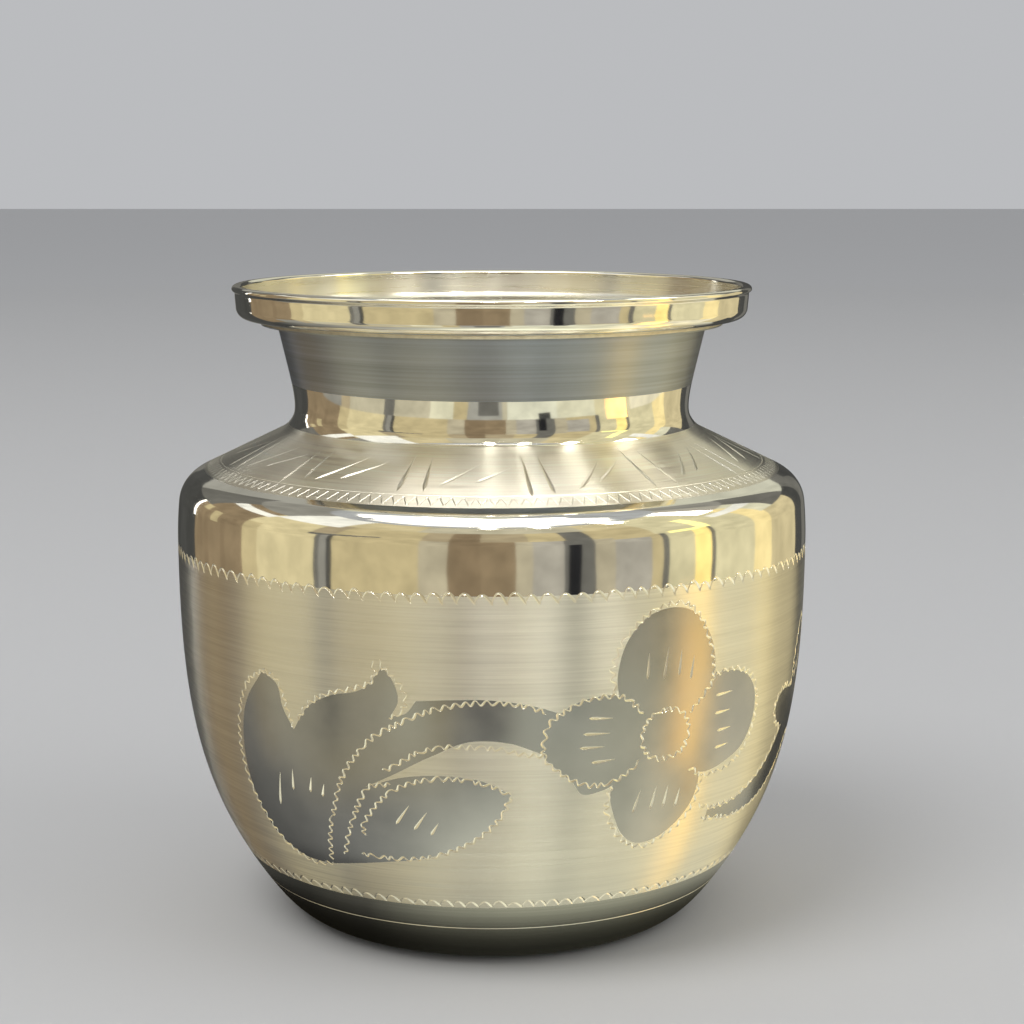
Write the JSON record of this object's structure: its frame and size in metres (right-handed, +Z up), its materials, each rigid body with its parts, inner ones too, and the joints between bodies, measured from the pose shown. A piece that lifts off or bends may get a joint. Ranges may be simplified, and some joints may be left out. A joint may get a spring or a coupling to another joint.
{
  "type": "lota",
  "caption": "Round-bellied metal water pot with a low conical shoulder, flared neck and banded collar, brushed and engraved with a flower spray between polished bands.",
  "frame": {"origin": "centre of the standing ring, on the surface that the pot stands on", "axes": "+Z up along the pot's axis; -Y towards the viewer of the picture, with the engraved flower right of centre"},
  "size_m": [0.0862, 0.0862, 0.0866],
  "materials": {
    "satin_base": "semi-polished white metal, darker, with fine turning lines",
    "brushed_bowl": "white metal brushed round the axis, with darker satin petals and leaves inside bright cut outlines",
    "brushed_shoulder": "brushed cone with bright straight cuts, between a polished cove and a polished band",
    "brushed_neck": "brushed round the axis above a polished foot",
    "polished_collar": "mirror polish",
    "solder": "filed silver solder"
  },
  "bodies": {
    "root": {"base_pan": "satin_base", "belly_bowl": "brushed_bowl", "shoulder_dome": "brushed_shoulder", "neck_funnel": "brushed_neck", "mouth_collar": "polished_collar", "base_solder": "solder", "belly_solder": "solder", "neck_solder": "solder", "collar_solder": "solder"}
  },
  "joints": []
}
